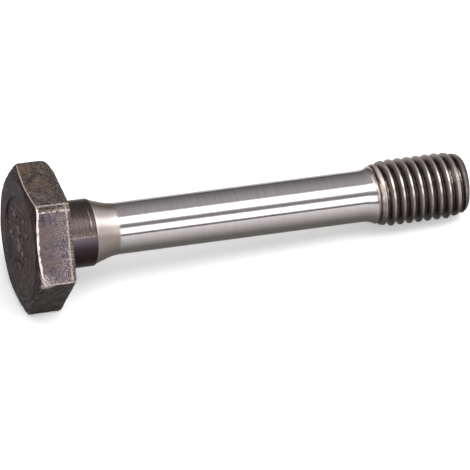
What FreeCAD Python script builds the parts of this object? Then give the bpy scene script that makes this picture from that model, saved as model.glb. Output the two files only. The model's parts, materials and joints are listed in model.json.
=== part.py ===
import FreeCAD, Part
import math
import os

# Mower blade bolt: one steel forging, lying on a flat of its hexagon head and on the last full
# crest of its thread. All sizes in mm. Lengths along the bolt run from the bearing face under
# the head, towards the thread.

# Head
across_flats = 31.2           # hexagon, flat to flat
corner_height = 8.22          # bearing face to the outer face, at the six corners
crown_slope = 0.3             # fall of the bevel that takes the corners off the outer face
crown_radius = 14.6           # where that bevel meets the outer face
face_rise = 0.15              # slight dome of the outer face inside the bevel
recess_radius = 10.4          # shallow round recess in the outer face
recess_draft = 0.45           # how much smaller the recess floor is than its mouth
recess_depth = 0.45
under_edge_round = 1.3        # forged rounding along the six edges under the head
corner_round = 0.45           # rounding of the six upright corner edges
worn_corner_width = 1.6       # one corner is worn down to a flat strip this wide
head_offset_side = 0.18       # the forged head sits a little off the axis, sideways ...
head_offset_up = 0.22         # ... and upwards

# Collar that centres the blade
collar_radius = 8.0
collar_length = 8.1
collar_edge_chamfer = 0.3     # along the collar
collar_edge_drop = 0.14       # towards the axis

# Waist behind the collar, then the ground shank
waist_angle = 18.0            # degrees, slope of the cone between collar and shank
waist_arc_radius = 10.0       # concave run into the shank
shank_radius = 6.15
shank_start = 14.5

# Flare up to the thread
flare_start = 74.8
flare_end = 77.3
flare_radius = 6.65           # radius reached at the shoulder line
shoulder_end = 78.3
shoulder_radius = 7.12
full_thread_start = 81.3      # the blank has its full radius from here

# Thread, 5/8-11, right-hand
thread_radius = 7.9
pitch = 25.4 / 11
thread_depth = 1.35
crest_flat = 0.35
flank_angle = 30.0            # degrees, each flank from the plane across the axis
near_crest = 81.49            # station of a crest's thread-side edge ...
near_crest_angle = 141.0      # ... at this angle about the axis, from +Y towards +Z
lead_start = 96.1             # tapered end of the thread
lead_end = 99.7
lead_radius = 7.1
total_length = 100.4
end_radius = 6.6

# Derived sizes
apothem = across_flats / 2
corner_radius = apothem / math.cos(math.radians(30))
crown_edge = corner_height + (corner_radius - crown_radius) * crown_slope
face_height = crown_edge + face_rise
waist_slope = math.tan(math.radians(waist_angle))
waist_arc_run = waist_arc_radius * math.sin(math.radians(waist_angle))
waist_arc_drop = waist_arc_radius * (1 - math.cos(math.radians(waist_angle)))
root_radius = thread_radius - thread_depth

# The bolt rests on the rounding under its head and on its last full crest.
floor_crest = near_crest + pitch * (270 - near_crest_angle) / 360
last_crest = floor_crest + pitch * math.floor((lead_start - floor_crest) / pitch)
rest_span = last_crest + under_edge_round
rest_drop = apothem - head_offset_up - under_edge_round - thread_radius
resting_tilt = math.degrees(
    math.atan2(rest_drop, rest_span) + math.asin(under_edge_round / math.hypot(rest_drop, rest_span)))

AXIS = FreeCAD.Vector(1, 0, 0)
ORIGIN = FreeCAD.Vector(0, 0, 0)
MARGIN = 2.0                  # how far cutting shapes reach past what they cut


def point(station, radius):
    """A point of a turned outline, drawn above the axis."""
    return FreeCAD.Vector(station, 0, radius)


def straight(a, b):
    return Part.makeLine(a, b)


def outline_line(points):
    """Straight edges through the points in turn."""
    return [straight(a, b) for a, b in zip(points, points[1:])]


def turned(edges):
    """The solid made by turning a closed outline about the axis."""
    face = Part.Face(Part.Wire(Part.__sortEdges__(edges)))
    return face.revolve(ORIGIN, AXIS, 360)


def tangent_arc(start, end, centre):
    """The shorter arc between two points on a circle about centre."""
    radius = (start - centre).Length
    middle = (start + end) * 0.5 - centre
    middle.normalize()
    return Part.Arc(start, centre + middle * radius, end).toShape()


def waist_edges():
    """Cone behind the collar and its concave run into the shank."""
    cone_end = point(shank_start - waist_arc_run, shank_radius + waist_arc_drop)
    cone_start_station = collar_length
    rise = (cone_end.x - cone_start_station) * waist_slope
    cone_start = point(cone_start_station, cone_end.z + rise)
    arc_end = point(shank_start, shank_radius)
    centre = point(shank_start, shank_radius + waist_arc_radius)
    return [straight(cone_start, cone_end), tangent_arc(cone_end, arc_end, centre)]


def flare_edges():
    """Concave flare from the shank up to the shoulder line."""
    run = flare_end - flare_start
    rise = flare_radius - shank_radius
    arc_radius = (run * run + rise * rise) / (2 * rise)
    start = point(flare_start, shank_radius)
    end = point(flare_end, flare_radius)
    centre = point(flare_start, shank_radius + arc_radius)
    return [tangent_arc(start, end, centre)]


def blank():
    """Collar, waist, shank, flare and the plain blank of the thread, as one turned solid."""
    waist = waist_edges()
    flare = flare_edges()
    waist_top = waist[0].Vertexes[0].Point
    collar = outline_line([
        point(-MARGIN, 0),
        point(-MARGIN, collar_radius),
        point(collar_length - collar_edge_chamfer, collar_radius),
        point(collar_length, collar_radius - collar_edge_drop),
        waist_top,
    ])
    shank = [straight(point(shank_start, shank_radius), point(flare_start, shank_radius))]
    thread = outline_line([
        point(flare_end, flare_radius),
        point(shoulder_end, shoulder_radius),
        point(full_thread_start, thread_radius),
        point(lead_start, thread_radius),
        point(lead_end, lead_radius),
        point(total_length, end_radius),
        point(total_length, 0),
        point(-MARGIN, 0),
    ])
    return turned(collar + waist + shank + flare + thread)


def hexagon_prism(height):
    """Hexagon with a flat facing down, from the bearing face outwards."""
    corners = []
    for step in range(7):
        angle = math.radians(60 * step)
        corners.append(FreeCAD.Vector(0, corner_radius * math.cos(angle), corner_radius * math.sin(angle)))
    return Part.Face(Part.makePolygon(corners)).extrude(AXIS * -height)


def upright_edges(solid):
    """The edges of the prism that run along the axis."""
    return [edge for edge in solid.Edges if abs(edge.tangentAt(edge.FirstParameter).x) > 0.99]


def bearing_edges(solid):
    """The edges that bound the bearing face."""
    return [edge for edge in solid.Edges if edge.BoundBox.XMin > -0.01]


def crown():
    """Turned shape that bevels the corners of the outer face and gives it its slight dome."""
    slope_run = corner_radius + MARGIN - crown_radius
    rim = point(-(crown_edge - slope_run * crown_slope), crown_radius + slope_run)
    bevel_edge = point(-crown_edge, crown_radius)
    top = point(-face_height, 0)
    dome_radius = (crown_radius ** 2 + face_rise ** 2) / (2 * face_rise)
    dome = tangent_arc(bevel_edge, top, point(-face_height + dome_radius, 0))
    edges = outline_line([top, point(MARGIN, 0), point(MARGIN, rim.z), rim, bevel_edge])
    return turned(edges + [dome])


def recess():
    """Shallow round recess with a sloping wall."""
    slope = recess_draft / recess_depth
    floor = -(face_height - recess_depth)
    mouth = -(face_height + MARGIN)
    floor_radius = recess_radius - recess_draft
    mouth_radius = recess_radius + MARGIN * slope
    return turned(outline_line([
        point(floor, 0),
        point(floor, floor_radius),
        point(mouth, mouth_radius),
        point(mouth, 0),
        point(floor, 0),
    ]))


def worn_corner():
    """Block that takes the upper corner on the -Y side down to a flat strip."""
    depth = worn_corner_width / 2 / math.tan(math.radians(60))
    size = 2 * MARGIN + worn_corner_width
    block = Part.makeBox(2 * face_height + size, size, size)
    block.translate(FreeCAD.Vector(-2 * face_height, -size / 2, corner_radius - depth))
    block.rotate(ORIGIN, AXIS, 30)
    return block


def head():
    """Hexagon head, rounded under its edge and bevelled on its outer face."""
    solid = hexagon_prism(face_height + MARGIN)
    solid = solid.makeFillet(corner_round, upright_edges(solid))
    solid = solid.cut(worn_corner())
    solid = solid.makeFillet(under_edge_round, bearing_edges(solid))
    solid = solid.common(crown()).cut(recess())
    solid.translate(FreeCAD.Vector(0, head_offset_side, head_offset_up))
    return solid


def groove():
    """Cutter for the thread: a V with a flat root, swept along a right-hand helix."""
    half_slope = math.tan(math.radians(flank_angle))
    half_mouth = (pitch - crest_flat) / 2
    half_root = half_mouth - thread_depth * half_slope
    half_outer = half_mouth + crest_flat / 4
    outer = thread_radius + (half_outer - half_mouth) / half_slope
    first_centre = near_crest + half_mouth
    turns_back = math.ceil((first_centre - flare_start) / pitch)
    start = first_centre - turns_back * pitch
    turns = math.ceil((total_length + pitch - start) / pitch)
    helix = Part.makeLongHelix(pitch, turns * pitch, root_radius, 0, False)
    profile = Part.makePolygon([
        FreeCAD.Vector(root_radius, 0, -half_root),
        FreeCAD.Vector(outer, 0, -half_outer),
        FreeCAD.Vector(outer, 0, half_outer),
        FreeCAD.Vector(root_radius, 0, half_root),
        FreeCAD.Vector(root_radius, 0, -half_root),
    ])
    cutter = Part.Wire(helix.Edges).makePipeShell([profile], True, True)
    cutter = Part.Solid(cutter) if cutter.ShapeType == "Shell" else cutter
    cutter.rotate(ORIGIN, FreeCAD.Vector(0, 1, 0), 90)
    # The helix now starts straight down, at 270 degrees.
    cutter.rotate(ORIGIN, AXIS, near_crest_angle - 270)
    cutter.translate(FreeCAD.Vector(start, 0, 0))
    return cutter


def laid_down(solid):
    """Tip the bolt until head and thread both touch the floor, centred over the origin."""
    solid.rotate(ORIGIN, FreeCAD.Vector(0, 1, 0), resting_tilt)
    box = solid.optimalBoundingBox(False)
    solid.translate(FreeCAD.Vector(-box.Center.x, -box.Center.y, -box.ZMin))
    return solid


def blade_bolt():
    joined = blank().cut(groove()).fuse(head())
    return laid_down(joined.Solids[0])


os.makedirs("parts", exist_ok=True)
bolt = blade_bolt()
bolt.exportStep("parts/blade_bolt.step")
print("valid", bolt.isValid(), "solids", len(bolt.Solids), "faces", len(bolt.Faces))
print("box", bolt.optimalBoundingBox(False), "volume", round(bolt.Volume, 1), "tilt", round(resting_tilt, 3))
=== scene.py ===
import bmesh
import bpy
import json
import math
from mathutils import Matrix, Vector, noise
from types import SimpleNamespace


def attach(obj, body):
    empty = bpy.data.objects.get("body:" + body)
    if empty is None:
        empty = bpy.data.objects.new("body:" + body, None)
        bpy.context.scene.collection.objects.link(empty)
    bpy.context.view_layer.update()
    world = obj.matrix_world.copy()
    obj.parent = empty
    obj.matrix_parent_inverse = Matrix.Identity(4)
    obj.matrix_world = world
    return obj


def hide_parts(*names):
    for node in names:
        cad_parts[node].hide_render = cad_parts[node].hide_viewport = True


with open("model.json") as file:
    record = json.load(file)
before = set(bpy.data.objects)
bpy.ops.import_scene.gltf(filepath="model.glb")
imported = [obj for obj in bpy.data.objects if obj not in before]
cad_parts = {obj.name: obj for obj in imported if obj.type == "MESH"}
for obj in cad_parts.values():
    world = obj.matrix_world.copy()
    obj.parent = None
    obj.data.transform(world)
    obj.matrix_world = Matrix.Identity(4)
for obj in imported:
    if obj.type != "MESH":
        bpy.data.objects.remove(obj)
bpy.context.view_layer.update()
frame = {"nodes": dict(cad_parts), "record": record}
scene = bpy.context.scene

# Head, in mm: the sizes of the part's source
APOTHEM = 15.6
CORNER_HEIGHT = 8.22          # bearing face to the outer face, at the six corners
CROWN_SLOPE = 0.3             # fall of the bevel that takes the corners off the outer face
CROWN_RADIUS = 14.6           # where that bevel meets the outer face
FACE_RISE = 0.15              # slight dome of the outer face inside the bevel
RECESS_RADIUS = 10.4          # shallow round recess in the outer face
RECESS_DRAFT = 0.45           # how much smaller its floor is than its mouth
RECESS_DEPTH = 0.45
UNDER_ROUND = 1.3             # forged rounding along the edges under the head
WORN_CORNER = 120             # degrees, the corner that is worn to a flat strip
WORN_WIDTH = 1.6
HEAD_OFFSET_Y = 0.18          # the head sits a little off the axis
HEAD_OFFSET_Z = 0.22
CORNER_RADIUS = APOTHEM / math.cos(math.radians(30))

# Wear in the head's shape; lengths in mm
SPREAD = 0.15                 # how far the forging stands out past its sizes, but not where it rests
CORNER_SHARPNESS = 160        # a larger number gives sharper upright corners
BLUNT_CORNER = 60             # degrees, the corner whose edge under the head is blunted more
BLUNT_ROUND = 2.7
BLUNT_REACH = 16.0            # degrees to either side of that corner
LOWER_SWELL = 0.45            # the lowest corner of the outer face stands this much further out
RIM_WORN_FACING = -75         # degrees, the side where the wall of the recess is worn to a slope
RIM_WORN_WIDTH = 3.2
RELIEF_HEIGHT = 0.25          # worn raised marks on the recess floor
RELIEF_MARGIN = 1.2           # from the rim of the recess to the outermost marks
RELIEF_FADE = 3.0             # the marks are full height this far inside the rim

# The head's grid: points round the head, and along one section of it
COLUMNS = 504
UNDER_STEPS = 10
ROUND_STEPS = 7
SIDE_STEPS = 36
BEVEL_STEPS = 16
FACE_STEPS = 18
WALL_STEPS = 8
FLOOR_STEPS = 44
HOLLOW_RADIUS = 7.0           # the head is hollow inside the collar, where nothing shows
HOLLOW_DEPTH = 1.0
RING_GAP = 0.2                # from the hollow or the collar to the next ring of the bearing face
SIDE_SLACK = 0.001            # mm, within this of the side a point counts as on it
WALL_SLACK = 0.05             # mm, the same for the wall of the recess
CLEAR_UNDER = 3.0             # distance to the front edge that points under the head are given
CLEAR_CENTRE = 9.0            # distance to every edge that the two centres are given
WELD = 1e-7                   # m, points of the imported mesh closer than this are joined
HEAD_LIMIT = 2e-5             # m from the bearing face; faces before it belong to the head

# Shank, in mm: stations are measured from the bearing face towards the thread
COLLAR_RADIUS = 8.0
COLLAR_END = 8.1
SHANK_START = 14.5
SHOULDER = 78.2               # where the thread's finish starts
SHOULDER_LEAN = 0.85          # over the top it starts this much nearer the head
LEAD_START = 96.1             # tapered end of the thread
THREAD_RADIUS = 7.9
ROOT_RADIUS = 6.55

# Zones round the bolt, in degrees about its axis from +Y towards +Z
UPPER_FLAT = (60, 118)        # rusty
SCUFFED_FLAT = (117, 180)     # grey
LOWER_FLAT = (180, 240)       # dark scale with painted shade, on the flat that faces down and to the front
WORN_CORNERS = (112, 186)     # the corners in view, which have bright lines
HAMMERED = (164, 183)
SHADED_UNDERSIDE = (177, 345)        # painted shade along the side that the bolt lies on
# Painted shade along the thread's underside
THREAD_UNDERSIDE = (178, 345)
WAIST_TOP = (-1, 96)          # painted shade: darker brown over the top of the waist
SEAM = (148, 150)             # fine line along the collar

# Zones along the bolt, in mm from the bearing face
COLLAR_FADE = (COLLAR_END - 0.26, COLLAR_END - 0.2)
GROUND_START = (SHANK_START - 0.5, SHANK_START + 0.4)
GROUND_END = (SHOULDER - 0.7, SHOULDER - 0.3)
FIRST_CREST_START = (SHOULDER, SHOULDER + 0.2)
FIRST_CREST_END = (SHOULDER + 1.7, SHOULDER + 2.1)

# Marks, painted highlights and painted shade on the shank: where they lie along the bolt in mm, and
# round it in degrees
RIM_ARC = (COLLAR_END - 1.6, COLLAR_END - 1.35), (100, 132)
# Painted highlight on the collar's chamfer, on its upper side
LIP_HIGHLIGHT = (COLLAR_END - 0.2, COLLAR_END + 0.05), (96, 142)
GALLED = (SHOULDER - 0.2, SHOULDER + 2.4), (114, 138)
# Painted shade at the end of the thread's groove, standing in for a notch that the shape lacks
GROOVE_END_SHADE = (SHOULDER + 0.45, SHOULDER + 0.95), (60, 120)
SCORED = (SHOULDER + 0.8, SHOULDER + 0.95), (136, 186)
# Painted highlight on a ridge at the start of the thread, on its upper side
RIDGE_HIGHLIGHT = (SHOULDER + 1.1, SHOULDER + 2.0), (60, 128)
RUBBED_END = (LEAD_START - 1.5, LEAD_START + 2.5), (110, 138)

# Light and room; lengths in m
STRIP_ABOVE = 110             # degrees about the bolt's axis
STRIP_ABOVE_WIDTH = 0.46
STRIP_FRONT = 158.8
STRIP_FRONT_WIDTH = 0.355
STRIP_RADIANCE = 3.0
STRIP_DISTANCE = 0.8
STRIP_LENGTH = 1.7
STRIP_CENTRE = Vector((0.5, 0, 0.015))    # past the thread, so that the shank mirrors the strips
FLOOR_GLOW = 0.3              # added where the camera or a reflection sees the floor
ROOM_HORIZON = 0.06
ROOM_WALLS = 0.3              # reached a little above the horizon
ROOM_WALLS_TOP = 0.2          # height of that place, where straight up is 1
ROOM_CEILING = 0.5            # added straight overhead
ROOM_CEILING_POWER = 2.5      # a larger number keeps that light closer to straight overhead

# Camera
CAMERA_TARGET = Vector((-0.002694, -0.004395, 0.008795))
CAMERA_DISTANCE = 1.52
CAMERA_HEADING = 17.334       # degrees round from -Y towards -X
CAMERA_ELEVATION = 38.848
CAMERA_ROLL = -0.096
CAMERA_LENS = 493.7


def linear(red, green, blue):
    """A screen colour of 0 to 255 as the renderer's linear values."""
    values = []
    for part in (red, green, blue):
        level = part / 255
        values.append(level / 12.92 if level <= 0.04045 else ((level + 0.055) / 1.055) ** 2.4)
    return (*values, 1.0)


def bolt_frame():
    """Origin, axis and tilt of the bolt's own frame, read from the collar's mount."""
    collar = next(m for m in frame["record"]["mounts"] if m["name"] == "collar")
    axis = Vector(collar["axis"]).normalized()
    half_length = collar["dims"]["length_mm"] / 2000
    origin = Vector(collar["pos_m"]) - axis * half_length
    return origin, axis, math.atan2(-axis.z, axis.x)


ORIGIN, AXIS, TILT = bolt_frame()
TURN = Matrix.Rotation(TILT, 3, "Y")


def placed(station, y, z):
    """A point given in mm along and across the bolt, in the part's frame."""
    return ORIGIN + TURN @ Vector((station, y, z)) * 0.001


def smooth(value, low, high):
    """0 below low, 1 above high, smooth between."""
    t = min(max((value - low) / (high - low), 0.0), 1.0)
    return t * t * (3 - 2 * t)


def spread(start, end, count):
    """Steps from start to end, without the end itself."""
    return [start + (end - start) * step / count for step in range(count)]


# The head's clean shape
def side_radius(angle):
    """Distance from the head's centre to its side, with slightly rounded corners."""
    total = 0.0
    planes = [(30 + 60 * step, APOTHEM) for step in range(6)]
    worn_depth = WORN_WIDTH / 2 / math.tan(math.radians(60))
    planes.append((WORN_CORNER, CORNER_RADIUS - worn_depth))
    for facing, distance in planes:
        slant = math.cos(math.radians(angle - facing))
        if slant > 0.5:
            total += (slant * CORNER_RADIUS / distance) ** CORNER_SHARPNESS
    return CORNER_RADIUS * total ** (-1 / CORNER_SHARPNESS)


def crown_height(radius):
    """Height of the outer face and its bevel above the bearing face."""
    if radius > CROWN_RADIUS:
        return CORNER_HEIGHT + (CORNER_RADIUS - radius) * CROWN_SLOPE
    edge = CORNER_HEIGHT + (CORNER_RADIUS - CROWN_RADIUS) * CROWN_SLOPE
    return edge + FACE_RISE * (1 - (radius / CROWN_RADIUS) ** 2)


def under_round(angle):
    """Size of the rounding under the head, larger at the blunted corner."""
    share = 1 - smooth(abs(angle - BLUNT_CORNER), 0.0, BLUNT_REACH)
    return UNDER_ROUND + (BLUNT_ROUND - UNDER_ROUND) * share


def rim_worn(angle):
    """1 where the wall of the recess is worn to a slope, 0 where it is still sharp."""
    return smooth(math.cos(math.radians(angle - RIM_WORN_FACING)), 0.1, 0.6)


def recess_outline(angle):
    """Stations and radii down the wall of the recess and along its floor."""
    mouth_height = crown_height(RECESS_RADIUS)
    floor_height = crown_height(0) - RECESS_DEPTH
    wall_width = RECESS_DRAFT + RIM_WORN_WIDTH * rim_worn(angle)
    rows = []
    for share in spread(0, 1, WALL_STEPS):
        height = mouth_height * (1 - share) + floor_height * share
        rows.append((-height, RECESS_RADIUS - wall_width * share))
    rows += [(-floor_height, radius) for radius in spread(RECESS_RADIUS - wall_width, 0, FLOOR_STEPS)]
    return rows


def head_outline(side, angle):
    """Stations and radii along a section of the head, from under it round to its centre."""
    rounding = under_round(angle)
    rows = [(-HOLLOW_DEPTH, HOLLOW_RADIUS), (0.0, HOLLOW_RADIUS + RING_GAP)]
    rows += [(0.0, radius) for radius in spread(COLLAR_RADIUS + RING_GAP, side - rounding, UNDER_STEPS)]
    for turn in spread(0, 90, ROUND_STEPS):
        lean = math.radians(turn)
        rows.append((rounding * (math.cos(lean) - 1), side + rounding * (math.sin(lean) - 1)))
    rows += [(-height, side) for height in spread(rounding, crown_height(side), SIDE_STEPS)]
    crown = spread(side, CROWN_RADIUS, BEVEL_STEPS) + spread(CROWN_RADIUS, RECESS_RADIUS, FACE_STEPS)
    rows += [(-crown_height(radius), radius) for radius in crown]
    return rows + recess_outline(angle)


def corner_distance(angle, radius):
    """Distance in mm round the head to the nearest corner line, negative inside the worn strip."""
    nearest = 60 * round(angle / 60)
    away = math.radians(abs(angle - nearest)) * radius
    if nearest % 360 == WORN_CORNER:
        return away - WORN_WIDTH / 2
    return away


def head_point(angle, side, station, radius):
    """A point of the head, with its distances in mm from the front, corner and back edges."""
    edge = crown_height(side)
    if radius > side - SIDE_SLACK:
        front = edge + station
    elif station < -UNDER_ROUND:
        front = radius - side
    else:
        front = CLEAR_UNDER
    y = radius * math.cos(math.radians(angle))
    z = radius * math.sin(math.radians(angle))
    swell = LOWER_SWELL * max(0.0, -z / CORNER_RADIUS) * min(1.0, max(0.0, -station) / edge)
    # The wall value marks the sharp part of the recess wall, which gets painted shade
    in_wall = RECESS_RADIUS - RECESS_DRAFT - WALL_SLACK < radius < RECESS_RADIUS + WALL_SLACK
    return SimpleNamespace(
        station=station - swell, y=y, z=z, radius=radius,
        front=front, corner=corner_distance(angle, radius), back=-station - UNDER_ROUND,
        wall=1 - rim_worn(angle) if in_wall else 0.0)


def centre_point(station):
    """A point on the head's centre line, clear of all edges."""
    return SimpleNamespace(
        station=station, y=0, z=0, radius=0,
        front=CLEAR_CENTRE, corner=CLEAR_CENTRE, back=CLEAR_CENTRE, wall=0.0)


def head_points():
    """Points column by column round the head, then the centres of its outer face and hollow."""
    points = []
    for column in range(COLUMNS):
        angle = 360 * column / COLUMNS
        side = side_radius(angle)
        for station, radius in head_outline(side, angle):
            points.append(head_point(angle, side, station, radius))
    points.append(centre_point(-(crown_height(0) - RECESS_DEPTH)))
    points.append(centre_point(-HOLLOW_DEPTH))
    return points


def head_faces(count):
    """Faces between the columns of points, then the fans about the two centres."""
    face_centre = count - 2
    hollow_centre = count - 1
    per_column = face_centre // COLUMNS
    faces = []
    fans = []
    for column in range(COLUMNS):
        here = column * per_column
        there = (column + 1) % COLUMNS * per_column
        for row in range(per_column - 1):
            faces.append((here + row, here + row + 1, there + row + 1, there + row))
        fans.append((there + per_column - 1, here + per_column - 1, face_centre))
        fans.append((here, there, hollow_centre))
    return faces + fans


# Wear of the head
def head_wear(point):
    """How far in mm a point of the head lies below the clean forging."""
    place = Vector((point.station, point.y, point.z))
    standing = -point.z / max(math.hypot(point.y, point.z), 0.001)
    depth = -SPREAD * (1 - smooth(standing, 0.3, 0.8)) if point.station < -0.2 else 0.0
    depth += 0.02 - 0.04 * noise.noise(place * 0.45) - 0.02 * noise.noise(place * 1.7)
    near_edge = 1 - smooth(abs(point.front), 0.0, 0.7)
    near_corner = 1 - smooth(abs(point.corner), 0.0, 0.6)
    if point.radius < CROWN_RADIUS:
        near_corner = 0.0
    dents = max(0.0, noise.noise(place * 0.9 + Vector((7, 3, 1))) - 0.05)
    return depth + (0.05 + 0.35 * dents) * max(near_edge, near_corner)


def relief(point):
    """Worn raised marks on the recess floor: short curved ridges with no pattern to them."""
    if point.radius > RECESS_RADIUS - RELIEF_MARGIN or point.station > -CORNER_HEIGHT:
        return 0.0
    place = Vector((0, point.y * 0.42, point.z * 0.42))
    bend = Vector((0, noise.noise(place * 1.3), noise.noise(place * 1.3 + Vector((5, 5, 5)))))
    ridge = 1 - smooth(abs(noise.noise(place + bend * 0.5)), 0.02, 0.16)
    worn = smooth(noise.noise(place * 0.8 + Vector((2, 9, 4))), -0.25, 0.25)
    fade = 1 - smooth(point.radius, RECESS_RADIUS - RELIEF_FADE, RECESS_RADIUS - RELIEF_MARGIN)
    return RELIEF_HEIGHT * ridge * worn * fade


# Pieces
def shown(mesh, sharp_angle):
    """The mesh as an object, smooth except along edges sharper than the angle in degrees."""
    mesh.shade_smooth()
    mesh.set_sharp_from_angle(angle=math.radians(sharp_angle))
    piece = bpy.data.objects.new(mesh.name, mesh)
    scene.collection.objects.link(piece)
    return piece


def make_head():
    """The forged head as a fine grid, with its wear in the shape."""
    points = head_points()
    places = [placed(p.station, p.y + HEAD_OFFSET_Y, p.z + HEAD_OFFSET_Z) for p in points]
    mesh = bpy.data.meshes.new("bolt_head")
    mesh.from_pydata(places, [], head_faces(len(points)))
    mesh.update()
    normals = [vertex.normal.copy() for vertex in mesh.vertices]
    for point, vertex, normal in zip(points, mesh.vertices, normals):
        height = relief(point)
        point.raised = height / RELIEF_HEIGHT
        vertex.co -= normal * (head_wear(point) - height) * 0.001
    for name in ("front", "corner", "back", "wall", "raised"):
        layer = mesh.attributes.new(name, "FLOAT", "POINT")
        layer.data.foreach_set("value", [getattr(point, name) for point in points])
    return shown(mesh, 35)


def make_shank():
    """Collar, waist, shank and thread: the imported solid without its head."""
    mesh = frame["nodes"]["blade_bolt"].data.copy()
    mesh.name = "bolt_shank"
    shape = bmesh.new()
    shape.from_mesh(mesh)
    bmesh.ops.remove_doubles(shape, verts=shape.verts, dist=WELD)
    of_head = [f for f in shape.faces if (f.calc_center_median() - ORIGIN).dot(AXIS) < HEAD_LIMIT]
    bmesh.ops.delete(shape, geom=of_head, context="FACES")
    open_edges = [edge for edge in shape.edges if edge.is_boundary]
    bmesh.ops.holes_fill(shape, edges=open_edges, sides=0)
    bmesh.ops.recalc_face_normals(shape, faces=shape.faces)
    shape.to_mesh(mesh)
    shape.free()
    if mesh.attributes.get("custom_normal"):
        mesh.attributes.remove(mesh.attributes["custom_normal"])
    mesh.materials.clear()
    return shown(mesh, 25)


# Node helpers
def add(tree, kind, **settings):
    """A new node with its settings."""
    node = tree.nodes.new(kind)
    for name, value in settings.items():
        setattr(node, name, value)
    return node


def feed(tree, socket, value):
    """Links a socket or sets a plain value."""
    if isinstance(value, bpy.types.NodeSocket):
        tree.links.new(value, socket)
    elif value is not None:
        socket.default_value = value


def calc(tree, operation, a, b=None, c=None):
    """Result of a Math node."""
    node = add(tree, "ShaderNodeMath", operation=operation)
    for socket, value in zip(node.inputs, (a, b, c)):
        feed(tree, socket, value)
    return node.outputs[0]


def combined(tree, operation, values):
    """Result of an operation on the first value and each of the others in turn."""
    result = values[0]
    for value in values[1:]:
        result = calc(tree, operation, result, value)
    return result


def product(tree, *values):
    return combined(tree, "MULTIPLY", values)


def total(tree, *values):
    return combined(tree, "ADD", values)


def largest(tree, *values):
    return combined(tree, "MAXIMUM", values)


def inverse(tree, value):
    """1 where the value is 0, and 0 where it is 1."""
    return calc(tree, "SUBTRACT", 1.0, value)


def ramp_up(tree, value, low, high):
    """0 below low, 1 above high; with low above high it falls instead."""
    node = add(tree, "ShaderNodeMapRange", interpolation_type="SMOOTHSTEP")
    feed(tree, node.inputs["Value"], value)
    rising = low < high
    node.inputs["From Min"].default_value = min(low, high)
    node.inputs["From Max"].default_value = max(low, high)
    node.inputs["To Min"].default_value = 0.0 if rising else 1.0
    node.inputs["To Max"].default_value = 1.0 if rising else 0.0
    return node.outputs["Result"]


def band(tree, value, low, high, soft):
    """1 between low and high, 0 outside, with soft ends."""
    rise = ramp_up(tree, value, low - soft, low + soft)
    fall = ramp_up(tree, value, high + soft, high - soft)
    return product(tree, rise, fall)


def stretched(tree, place, x, y, z):
    """The place scaled by a factor along each axis."""
    node = add(tree, "ShaderNodeMapping")
    feed(tree, node.inputs["Vector"], place)
    node.inputs["Scale"].default_value = (x, y, z)
    return node.outputs["Vector"]


def grain(tree, place, scale, detail, roughness):
    """Noise between 0 and 1."""
    node = add(tree, "ShaderNodeTexNoise")
    feed(tree, node.inputs["Vector"], place)
    node.inputs["Scale"].default_value = scale
    node.inputs["Detail"].default_value = detail
    node.inputs["Roughness"].default_value = roughness
    return node.outputs["Fac"]


def mix(tree, factor, a, b):
    """Colour a where the factor is 0, and colour b where it is 1."""
    node = add(tree, "ShaderNodeMix", data_type="RGBA")
    feed(tree, node.inputs["Factor"], factor)
    feed(tree, node.inputs[6], a)
    feed(tree, node.inputs[7], b)
    return node.outputs[2]


def mix_value(tree, factor, a, b):
    """Number a where the factor is 0, and number b where it is 1."""
    node = add(tree, "ShaderNodeMix", data_type="FLOAT")
    feed(tree, node.inputs["Factor"], factor)
    feed(tree, node.inputs[2], a)
    feed(tree, node.inputs[3], b)
    return node.outputs[0]


def attribute(tree, name):
    return add(tree, "ShaderNodeAttribute", attribute_name=name).outputs["Fac"]


def add_bump(tree, shader, height, distance, strength):
    """Fine relief; height is 0 to 1 and distance its depth in metres."""
    node = add(tree, "ShaderNodeBump")
    node.inputs["Strength"].default_value = strength
    node.inputs["Distance"].default_value = distance
    feed(tree, node.inputs["Height"], height)
    feed(tree, shader.inputs["Normal"], node.outputs["Normal"])


def bolt_coordinates(tree):
    """Position in the bolt's own frame in mm, and its station, radius and angle."""
    texture = add(tree, "ShaderNodeTexCoord")
    mapping = add(tree, "ShaderNodeMapping", vector_type="TEXTURE")
    feed(tree, mapping.inputs["Vector"], texture.outputs["Object"])
    mapping.inputs["Location"].default_value = ORIGIN
    mapping.inputs["Rotation"].default_value = (0, TILT, 0)
    mapping.inputs["Scale"].default_value = (0.001, 0.001, 0.001)
    place = mapping.outputs["Vector"]
    parts = add(tree, "ShaderNodeSeparateXYZ")
    feed(tree, parts.inputs[0], place)
    station, y, z = parts.outputs
    radius = calc(tree, "SQRT", total(tree, product(tree, y, y), product(tree, z, z)))
    angle = calc(tree, "DEGREES", calc(tree, "ARCTAN2", z, y))
    return place, station, radius, calc(tree, "WRAP", angle, 360.0, 0.0)


def new_material(name):
    material = bpy.data.materials.new(name)
    material.use_nodes = True
    tree = material.node_tree
    return material, tree, tree.nodes["Principled BSDF"]


def new_finish(name, coarse_detail):
    """A material for the bolt, with its coordinates and three sizes of grain."""
    material, tree, shader = new_material(name)
    place, station, radius, angle = bolt_coordinates(tree)
    return SimpleNamespace(
        material=material, tree=tree, shader=shader,
        place=place, station=station, radius=radius, angle=angle,
        coarse=grain(tree, place, 0.28, coarse_detail, 0.6),
        medium=grain(tree, place, 0.9, 5.0, 0.65),
        fine=grain(tree, place, 3.2, 4.0, 0.7))


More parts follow.
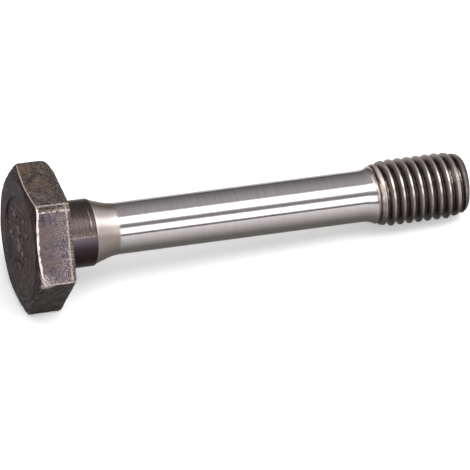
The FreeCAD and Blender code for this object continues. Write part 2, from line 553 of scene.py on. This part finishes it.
# The head's finish
def find_head_places(finish):
    """Adds distances from the edges, the three flats in view and more grain to the finish."""
    tree = finish.tree
    finish.front = attribute(tree, "front")
    finish.corner = attribute(tree, "corner")
    finish.back = attribute(tree, "back")
    finish.from_corner = calc(tree, "ABSOLUTE", finish.corner)
    finish.patches = grain(tree, finish.place, 0.5, 6.0, 0.75)
    finish.streaks = grain(tree, stretched(tree, finish.place, 0.5, 2.6, 2.6), 1.0, 5.0, 0.7)
    finish.ragged = product(tree, calc(tree, "SUBTRACT", finish.medium, 0.5), 2.0)
    finish.on_flat = ramp_up(tree, finish.front, -0.02, 0.02)
    finish.upper = product(tree, finish.on_flat, band(tree, finish.angle, *UPPER_FLAT, 1.0))
    finish.scuffed = product(tree, finish.on_flat, band(tree, finish.angle, *SCUFFED_FLAT, 0.8))
    finish.lower = product(tree, finish.on_flat, band(tree, finish.angle, *LOWER_FLAT, 0.8))


def scale_colour(finish):
    """Mottled dark forged scale."""
    tree = finish.tree
    mottled = ramp_up(tree, finish.medium, 0.36, 0.66)
    scale = mix(tree, mottled, linear(16, 8, 9), linear(58, 41, 43))
    scale = mix(tree, ramp_up(tree, finish.coarse, 0.52, 0.64), scale, linear(52, 46, 42))
    scale = mix(tree, ramp_up(tree, finish.fine, 0.5, 0.4), scale, linear(18, 13, 13))
    return mix(tree, ramp_up(tree, finish.fine, 0.56, 0.68), scale, linear(104, 84, 84))


def arc_grain(finish):
    """Grain that runs in arcs round the outer face."""
    tree = finish.tree
    outward = add(tree, "ShaderNodeCombineXYZ")
    feed(tree, outward.inputs["X"], product(tree, finish.radius, 2.2))
    around = add(tree, "ShaderNodeVectorMath", operation="ADD")
    feed(tree, around.inputs[0], outward.outputs["Vector"])
    feed(tree, around.inputs[1], stretched(tree, finish.place, 0.0, 0.25, 0.25))
    return grain(tree, around.outputs["Vector"], 1.0, 4.0, 0.6)


def mark_outer_face(finish, scale):
    """Arcs on the outer face, and worn marks, dark holes and painted shade on the wall of its recess.
    """
    tree = finish.tree
    arcs = arc_grain(finish)
    strength = product(tree, inverse(tree, finish.on_flat), 0.55)
    pale_arcs = product(tree, ramp_up(tree, arcs, 0.5, 0.62), strength)
    dark_arcs = product(tree, ramp_up(tree, arcs, 0.46, 0.38), strength)
    scale = mix(tree, pale_arcs, scale, linear(88, 66, 69))
    scale = mix(tree, dark_arcs, scale, linear(16, 9, 10))
    raised = ramp_up(tree, attribute(tree, "raised"), 0.05, 0.7)
    rubbed = product(tree, raised, ramp_up(tree, finish.fine, 0.38, 0.56), 0.8)
    scale = mix(tree, rubbed, scale, linear(140, 127, 125))
    in_recess = ramp_up(tree, finish.radius, 8.5, 7.5)
    holes = product(tree, in_recess, ramp_up(tree, finish.patches, 0.45, 0.39))
    scale = mix(tree, holes, scale, linear(8, 5, 5))
    # Painted shade on the sharp part of the recess wall
    return mix(tree, attribute(tree, "wall"), scale, linear(8, 5, 5))


def rust_colour(finish):
    """Brown rust with pale specks, darker and more speckled towards the edge under the head."""
    tree = finish.tree
    patchy = ramp_up(tree, finish.patches, 0.38, 0.64)
    rust = mix(tree, patchy, linear(46, 40, 39), linear(104, 92, 86))
    rust = mix(tree, ramp_up(tree, finish.coarse, 0.5, 0.62), rust, linear(92, 72, 60))
    rust = mix(tree, ramp_up(tree, finish.medium, 0.5, 0.34), rust, linear(46, 39, 37))
    specks = product(tree, ramp_up(tree, finish.fine, 0.5, 0.66), 0.7)
    rust = mix(tree, specks, rust, linear(136, 121, 112))
    rear = ramp_up(tree, total(tree, finish.back, finish.ragged), 2.4, 0.6)
    rust = mix(tree, product(tree, rear, 0.6), rust, linear(46, 40, 36))
    rear_specks = product(tree, rear, ramp_up(tree, finish.fine, 0.56, 0.64))
    return mix(tree, rear_specks, rust, linear(166, 152, 142))


def shaded_flat_colour(finish):
    """Nearly black: dark scale with painted shade over it, and a few specks."""
    tree = finish.tree
    patchy = ramp_up(tree, finish.patches, 0.42, 0.6)
    shaded_scale = mix(tree, patchy, linear(2, 1, 1), linear(44, 36, 30))
    specks = product(tree, ramp_up(tree, finish.fine, 0.54, 0.66), 0.5)
    return mix(tree, specks, shaded_scale, linear(80, 70, 62))


def scuffed_colour(finish):
    """Scuffed grey, brown along the edge under the head."""
    tree = finish.tree
    mottled = ramp_up(tree, finish.coarse, 0.36, 0.54)
    grey = mix(tree, mottled, linear(65, 59, 73), linear(94, 81, 76))
    grey = mix(tree, ramp_up(tree, finish.streaks, 0.4, 0.66), grey, linear(101, 90, 98))
    grey = mix(tree, ramp_up(tree, finish.medium, 0.5, 0.34), grey, linear(60, 52, 56))
    uneven = total(tree, finish.back, product(tree, finish.medium, 0.8))
    return mix(tree, ramp_up(tree, uneven, 0.6, 0.2), grey, linear(76, 62, 56))


def strip_colour(finish):
    """Streaked brown of the corner that is worn to a strip."""
    tree = finish.tree
    streaky = ramp_up(tree, finish.streaks, 0.36, 0.66)
    return mix(tree, streaky, linear(48, 40, 37), linear(112, 98, 91))


def front_wear(finish):
    """Bright ragged line along the front edge, wider on the scuffed flat, faint on the lower one."""
    tree = finish.tree
    gaps = ramp_up(tree, finish.medium, 0.46, 0.56)
    unbroken = ramp_up(tree, finish.angle, 174, 168)
    waver = product(tree, finish.ragged, mix_value(tree, finish.scuffed, 0.3, 0.6))
    line = total(tree, finish.front, waver)
    line = calc(tree, "SUBTRACT", line, product(tree, finish.scuffed, 0.25))
    return product(
        tree, finish.on_flat, mix_value(tree, finish.lower, 1.0, 0.16), largest(tree, unbroken, gaps),
        ramp_up(tree, line, 0.32, 0.1))


def corner_wear(finish):
    """Bright ragged lines along the corners of the scuffed flat."""
    tree = finish.tree
    line = total(tree, finish.from_corner, product(tree, finish.ragged, 0.5))
    return product(
        tree, finish.on_flat, ramp_up(tree, line, 0.26, 0.1),
        band(tree, finish.angle, *WORN_CORNERS, 2.0), ramp_up(tree, finish.medium, 0.36, 0.5))


def back_wear(finish):
    """Bright ragged line where the scuffed flat turns under the head."""
    tree = finish.tree
    waver = total(tree, finish.back, product(tree, finish.ragged, 0.6))
    line = ramp_up(tree, calc(tree, "ABSOLUTE", waver), 0.3, 0.1)
    return product(tree, finish.scuffed, line, ramp_up(tree, finish.fine, 0.36, 0.5))


def speckle(finish):
    """Bright specks on the scuffed flat, near its back edge and its lower corner."""
    tree = finish.tree
    near_back = ramp_up(tree, total(tree, finish.back, product(tree, finish.ragged, 3.0)), 5.5, 0.5)
    near_corner = ramp_up(tree, total(tree, finish.from_corner, finish.ragged), 3.4, 0.6)
    near_corner = product(tree, near_corner, ramp_up(tree, finish.angle, 140, 160))
    specks = ramp_up(tree, finish.fine, 0.52, 0.62)
    return product(tree, finish.scuffed, specks, largest(tree, near_back, near_corner))


def hammered(finish):
    """Bright hammer marks about the lower front corner of the scuffed flat."""
    tree = finish.tree
    return product(
        tree, ramp_up(tree, finish.front, 3.6, 0.8), ramp_up(tree, finish.from_corner, 3.2, 0.8),
        band(tree, finish.angle, *HAMMERED, 2.0), ramp_up(tree, finish.fine, 0.45, 0.56),
        ramp_up(tree, finish.front, -0.9, -0.5))


def head_material():
    """Dark forged scale, a rusty upper flat, a scuffed flat next to it, and bright worn edges."""
    finish = new_finish("forged_scale", 5.0)
    find_head_places(finish)
    tree = finish.tree
    shader = finish.shader
    colour = mark_outer_face(finish, scale_colour(finish))
    colour = mix(tree, finish.upper, colour, rust_colour(finish))
    # The lower flat: dark scale with painted shade
    colour = mix(tree, finish.lower, colour, shaded_flat_colour(finish))
    colour = mix(tree, finish.scuffed, colour, scuffed_colour(finish))
    strip = product(tree, finish.on_flat, ramp_up(tree, finish.corner, 0.05, -0.05))
    colour = mix(tree, strip, colour, strip_colour(finish))
    wear = largest(
        tree, front_wear(finish), product(tree, corner_wear(finish), 0.75),
        product(tree, back_wear(finish), 0.5), product(tree, speckle(finish), 0.5),
        product(tree, hammered(finish), 0.8))
    colour = mix(tree, wear, colour, linear(206, 192, 187))
    metallic = mix_value(tree, wear, mix_value(tree, finish.scuffed, 0.08, 0.3), 0.8)
    roughness = mix_value(tree, wear, mix_value(tree, finish.scuffed, 0.6, 0.5), 0.4)
    feed(tree, shader.inputs["Base Color"], colour)
    feed(tree, shader.inputs["Metallic"], metallic)
    feed(tree, shader.inputs["Roughness"], roughness)
    shader.inputs["Specular IOR Level"].default_value = 0.08
    uneven = total(tree, finish.medium, product(tree, finish.fine, 0.6))
    add_bump(tree, shader, uneven, 0.00016, 0.8)
    return finish.material


# The shank's finish
def find_shank_places(finish):
    """Adds turning rings, the shoulder's line and the parts of the shank to the finish."""
    tree = finish.tree
    finish.rings = grain(tree, stretched(tree, finish.place, 9.0, 0.12, 0.12), 1.0, 3.0, 0.6)
    lean = product(tree, ramp_up(tree, finish.angle, 150, 100), SHOULDER_LEAN)
    finish.along = total(tree, finish.station, lean)
    ragged_station = total(tree, finish.station, product(tree, finish.medium, 1.2))
    ground_start = ramp_up(tree, ragged_station, *GROUND_START)
    ground_end = ramp_up(tree, finish.along, *reversed(GROUND_END))
    finish.ground = product(tree, ground_start, ground_end)
    # Painted shade: darker along the underside of the shank and collar
    finish.under = band(tree, finish.angle, *SHADED_UNDERSIDE, 23.0)
    finish.collar = ramp_up(tree, finish.station, *reversed(COLLAR_FADE))
    finish.thread = ramp_up(tree, finish.along, SHOULDER - 0.05, SHOULDER + 0.05)


def patch(finish, station, place, soft_along, soft_round):
    """1 in a mark's place on the shank, 0 outside it, with soft ends in mm and degrees."""
    along_bolt, round_bolt = place
    return product(
        finish.tree, band(finish.tree, station, *along_bolt, soft_along),
        band(finish.tree, finish.angle, *round_bolt, soft_round))


def steel_colour(finish):
    """Pale turned waist and ground shank, with painted shade on the underside and on parts of the
    waist.
    """
    tree = finish.tree
    ground_rings = ramp_up(tree, finish.rings, 0.3, 0.7)
    ground = mix(tree, ground_rings, linear(168, 162, 163), linear(182, 176, 177))
    turned_rings = ramp_up(tree, finish.rings, 0.36, 0.64)
    turned = mix(tree, turned_rings, linear(210, 200, 192), linear(226, 218, 211))
    # Painted shade over the top of the waist
    turned = mix(tree, band(tree, finish.angle, *WAIST_TOP, 12.0), turned, linear(146, 131, 122))
    # Painted shade on the front of the waist, past 116 to 154 degrees
    turned = mix(tree, ramp_up(tree, finish.angle, 116, 154), turned, linear(130, 119, 114))
    steel = mix(tree, finish.ground, turned, ground)
    # Painted shade on the underside
    return mix(tree, finish.under, steel, linear(86, 83, 79))


def collar_marks(finish):
    """A pale arc near the collar's edge and a fine seam along it."""
    tree = finish.tree
    arc = patch(finish, finish.station, RIM_ARC, 0.12, 8.0)
    arc = product(tree, arc, ramp_up(tree, finish.medium, 0.36, 0.56), 0.7)
    seam = band(tree, finish.angle, *SEAM, 1.4)
    seam = product(tree, seam, ramp_up(tree, finish.rings, 0.35, 0.6), 0.25)
    return largest(tree, arc, seam)


def collar_colour(finish):
    """Dark mottled collar, with a darker ringed band round its lower side and painted shade on its
    underside.
    """
    tree = finish.tree
    mottled = mix_value(tree, 0.55, finish.rings, finish.fine)
    dark = mix(tree, ramp_up(tree, mottled, 0.4, 0.6), linear(66, 58, 55), linear(96, 86, 83))
    dark = mix(tree, ramp_up(tree, finish.fine, 0.56, 0.7), dark, linear(120, 110, 106))
    low = mix(tree, ramp_up(tree, finish.rings, 0.3, 0.7), linear(46, 37, 41), linear(62, 51, 57))
    low = mix(tree, ramp_up(tree, finish.angle, 172, 154), low, linear(82, 72, 81))
    # Painted shade on the collar's underside
    low = mix(tree, finish.under, low, linear(24, 19, 18))
    low_side = ramp_up(tree, total(tree, finish.angle, product(tree, finish.rings, 5.0)), 149.5, 160.0)
    dark = mix(tree, low_side, dark, low)
    return mix(tree, collar_marks(finish), dark, linear(190, 178, 176))


def bare_crests(finish):
    """1 on the bare metal of the crests and of the first, unfinished crest."""
    tree = finish.tree
    uneven = product(tree, calc(tree, "SUBTRACT", finish.fine, 0.5), 0.3)
    radius = total(tree, finish.radius, uneven)
    crest = ramp_up(tree, radius, THREAD_RADIUS - 0.2, THREAD_RADIUS - 0.06)
    first_crest = product(
        tree, finish.thread, ramp_up(tree, finish.along, *reversed(FIRST_CREST_END)),
        ramp_up(tree, finish.along, *FIRST_CREST_START), ramp_up(tree, finish.medium, 0.3, 0.55))
    return largest(tree, crest, first_crest)


def flank_colour(finish):
    """Oily brown flanks, paler towards the crests and dark in the roots."""
    tree = finish.tree
    oily = mix(tree, ramp_up(tree, finish.medium, 0.36, 0.64), linear(46, 37, 36), linear(92, 80, 77))
    oily = mix(tree, ramp_up(tree, finish.coarse, 0.5, 0.7), oily, linear(92, 80, 64))
    outer = ramp_up(tree, finish.radius, ROOT_RADIUS + 0.15, THREAD_RADIUS - 0.2)
    oily = mix(tree, outer, oily, linear(150, 138, 136))
    root = ramp_up(tree, finish.radius, ROOT_RADIUS + 0.4, ROOT_RADIUS + 0.05)
    return mix(tree, product(tree, root, 0.7), oily, linear(20, 15, 14))


def crest_colour(finish):
    """Bare steel of the crests, with a painted highlight on the upper side."""
    tree = finish.tree
    polished = mix(tree, finish.medium, linear(120, 108, 104), linear(158, 147, 143))
    brighter = mix(tree, finish.medium, linear(178, 166, 160), linear(222, 212, 206))
    # Painted highlight: the crests lighter on the upper side
    return mix(tree, ramp_up(tree, finish.angle, 158, 132), polished, brighter)


def thread_colour(finish):
    """Oily flanks and bare crests, both with painted shade on the underside, and a rubbed end."""
    tree = finish.tree
    threaded = mix(tree, finish.bare, flank_colour(finish), crest_colour(finish))
    # Painted shade: darker flanks and crests on the underside
    shaded = mix(tree, finish.bare, linear(20, 16, 15), linear(70, 61, 58))
    threaded = mix(tree, band(tree, finish.angle, *THREAD_UNDERSIDE, 26.0), threaded, shaded)
    rubbed = patch(finish, finish.station, RUBBED_END, 0.3, 7.0)
    rubbed = product(tree, rubbed, ramp_up(tree, finish.fine, 0.44, 0.62))
    return mix(tree, rubbed, threaded, linear(190, 177, 168))


def mark_shoulder(finish, colour):
    """Galled metal, a painted highlight on a ridge, and two dark lines at the start of the thread:
    painted shade at the end of a groove, and a scored line.
    """
    tree = finish.tree
    colour = mix(tree, finish.galled, colour, linear(160, 143, 129))
    # Painted highlight on the ridge
    ridge = product(tree, patch(finish, finish.along, RIDGE_HIGHLIGHT, 0.14, 8.0), 0.8)
    colour = mix(tree, ridge, colour, linear(226, 214, 206))
    # Painted shade at the end of the groove
    groove_shade = product(tree, patch(finish, finish.along, GROOVE_END_SHADE, 0.14, 6.0), 0.85)
    scored = product(tree, patch(finish, finish.station, SCORED, 0.1, 8.0), 0.6)
    return mix(tree, largest(tree, groove_shade, scored), colour, linear(34, 28, 26))


def shank_roughness(finish):
    """Nearly polished shank, and duller waist, collar, thread and galled metal."""
    tree = finish.tree
    turned = mix_value(tree, finish.rings, 0.32, 0.4)
    ground = mix_value(tree, finish.rings, 0.07, 0.11)
    rough = mix_value(tree, finish.ground, turned, ground)
    rough = mix_value(tree, finish.collar, rough, 0.38)
    rough = mix_value(tree, finish.thread, rough, mix_value(tree, finish.bare, 0.34, 0.3))
    return mix_value(tree, finish.galled, rough, 0.45)


def shank_material():
    """Dark collar, turned waist, ground shank, and an oily thread with bright crests, with painted
    highlights and shade on parts of them.
    """
    finish = new_finish("turned_and_ground", 4.0)
    find_shank_places(finish)
    tree = finish.tree
    shader = finish.shader
    finish.bare = bare_crests(finish)
    galled = patch(finish, finish.along, GALLED, 0.3, 5.0)
    finish.galled = product(tree, galled, ramp_up(tree, finish.medium, 0.36, 0.52))
    colour = mix(tree, finish.collar, steel_colour(finish), collar_colour(finish))
    # Painted highlight on the collar's chamfer
    lip_highlight = product(tree, patch(finish, finish.station, LIP_HIGHLIGHT, 0.06, 8.0), 0.8)
    colour = mix(tree, lip_highlight, colour, linear(240, 231, 225))
    colour = mix(tree, finish.thread, colour, thread_colour(finish))
    on_flank = product(tree, finish.thread, inverse(tree, finish.bare))
    feed(tree, shader.inputs["Base Color"], mark_shoulder(finish, colour))
    feed(tree, shader.inputs["Metallic"], mix_value(tree, on_flank, 1.0, 0.65))
    feed(tree, shader.inputs["Roughness"], shank_roughness(finish))
    shader.inputs["Specular Tint"].default_value = (0.6, 0.59, 0.58, 1.0)
    fine_rings = grain(tree, stretched(tree, finish.place, 26.0, 0.2, 0.2), 1.0, 2.0, 0.5)
    pitted = largest(tree, on_flank, finish.galled)
    marks = mix_value(tree, pitted, fine_rings, product(tree, finish.fine, 4.0))
    add_bump(tree, shader, marks, 0.00002, 0.6)
    return finish.material


# Floor, light, room and camera
def make_floor():
    """Pale floor that glows a little to the camera and in reflections, and keeps the shadow."""
    bpy.ops.mesh.primitive_plane_add(size=6.0)
    plane = bpy.context.object
    plane.name = "floor"
    material, tree, shader = new_material("floor_pale")
    rays = add(tree, "ShaderNodeLightPath").outputs
    seen = largest(tree, rays["Is Camera Ray"], rays["Is Glossy Ray"], rays["Is Transmission Ray"])
    shader.inputs["Base Color"].default_value = (0.9, 0.9, 0.9, 1.0)
    shader.inputs["Roughness"].default_value = 0.9
    shader.inputs["Specular IOR Level"].default_value = 0.1
    shader.inputs["Emission Color"].default_value = (1, 1, 1, 1)
    feed(tree, shader.inputs["Emission Strength"], product(tree, seen, FLOOR_GLOW))
    plane.data.materials.append(material)


def strip_light(name, direction, width):
    """Long soft light parallel to the bolt; direction is its angle about the bolt's axis."""
    data = bpy.data.lights.new(name, "AREA")
    data.shape = "RECTANGLE"
    data.size = STRIP_LENGTH
    data.size_y = width
    data.energy = STRIP_RADIANCE * math.pi * STRIP_LENGTH * width
    lamp = bpy.data.objects.new(name, data)
    scene.collection.objects.link(lamp)
    angle = math.radians(direction)
    outward = Vector((0, math.cos(angle), math.sin(angle)))
    along = Vector((1, 0, 0))
    lamp.location = STRIP_CENTRE + outward * STRIP_DISTANCE
    lamp.rotation_euler = Matrix((along, outward.cross(along), outward)).transposed().to_euler()


def make_lights():
    strip_light("strip_above", STRIP_ABOVE, STRIP_ABOVE_WIDTH)
    strip_light("strip_front", STRIP_FRONT, STRIP_FRONT_WIDTH)


def make_world():
    """Light of the room: faint at the horizon, brighter overhead."""
    world = bpy.data.worlds.new("room")
    scene.world = world
    world.use_nodes = True
    tree = world.node_tree
    parts = add(tree, "ShaderNodeSeparateXYZ")
    feed(tree, parts.inputs[0], add(tree, "ShaderNodeTexCoord").outputs["Generated"])
    height = calc(tree, "MAXIMUM", parts.outputs["Z"], 0.0)
    walls = mix_value(tree, ramp_up(tree, height, 0.0, ROOM_WALLS_TOP), ROOM_HORIZON, ROOM_WALLS)
    ceiling = product(tree, calc(tree, "POWER", height, ROOM_CEILING_POWER), ROOM_CEILING)
    background = tree.nodes["Background"]
    background.inputs["Color"].default_value = (1, 1, 1, 1)
    feed(tree, background.inputs["Strength"], total(tree, walls, ceiling))


def make_camera():
    """Camera at the photo's place, turned to its target."""
    data = bpy.data.cameras.new("camera")
    data.lens = CAMERA_LENS
    data.sensor_width = 36.0
    data.clip_end = 20.0
    eye = bpy.data.objects.new("camera", data)
    scene.collection.objects.link(eye)
    heading = math.radians(CAMERA_HEADING)
    elevation = math.radians(CAMERA_ELEVATION)
    back = Vector((
        -math.sin(heading) * math.cos(elevation),
        -math.cos(heading) * math.cos(elevation),
        math.sin(elevation)))
    eye.location = CAMERA_TARGET + back * CAMERA_DISTANCE
    aim = (-back).to_track_quat("-Z", "Y").to_matrix()
    roll = Matrix.Rotation(math.radians(CAMERA_ROLL), 3, "Z")
    eye.rotation_euler = (aim @ roll).to_euler()
    scene.camera = eye


def dress(piece, material):
    """Gives a piece its material, hides the node that it replaces and says what it moves with."""
    piece.data.materials.append(material)
    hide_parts("blade_bolt")
    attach(piece, "root")


dress(make_head(), head_material())
dress(make_shank(), shank_material())
make_floor()
make_lights()
make_world()
make_camera()
scene.view_settings.view_transform = "Standard"
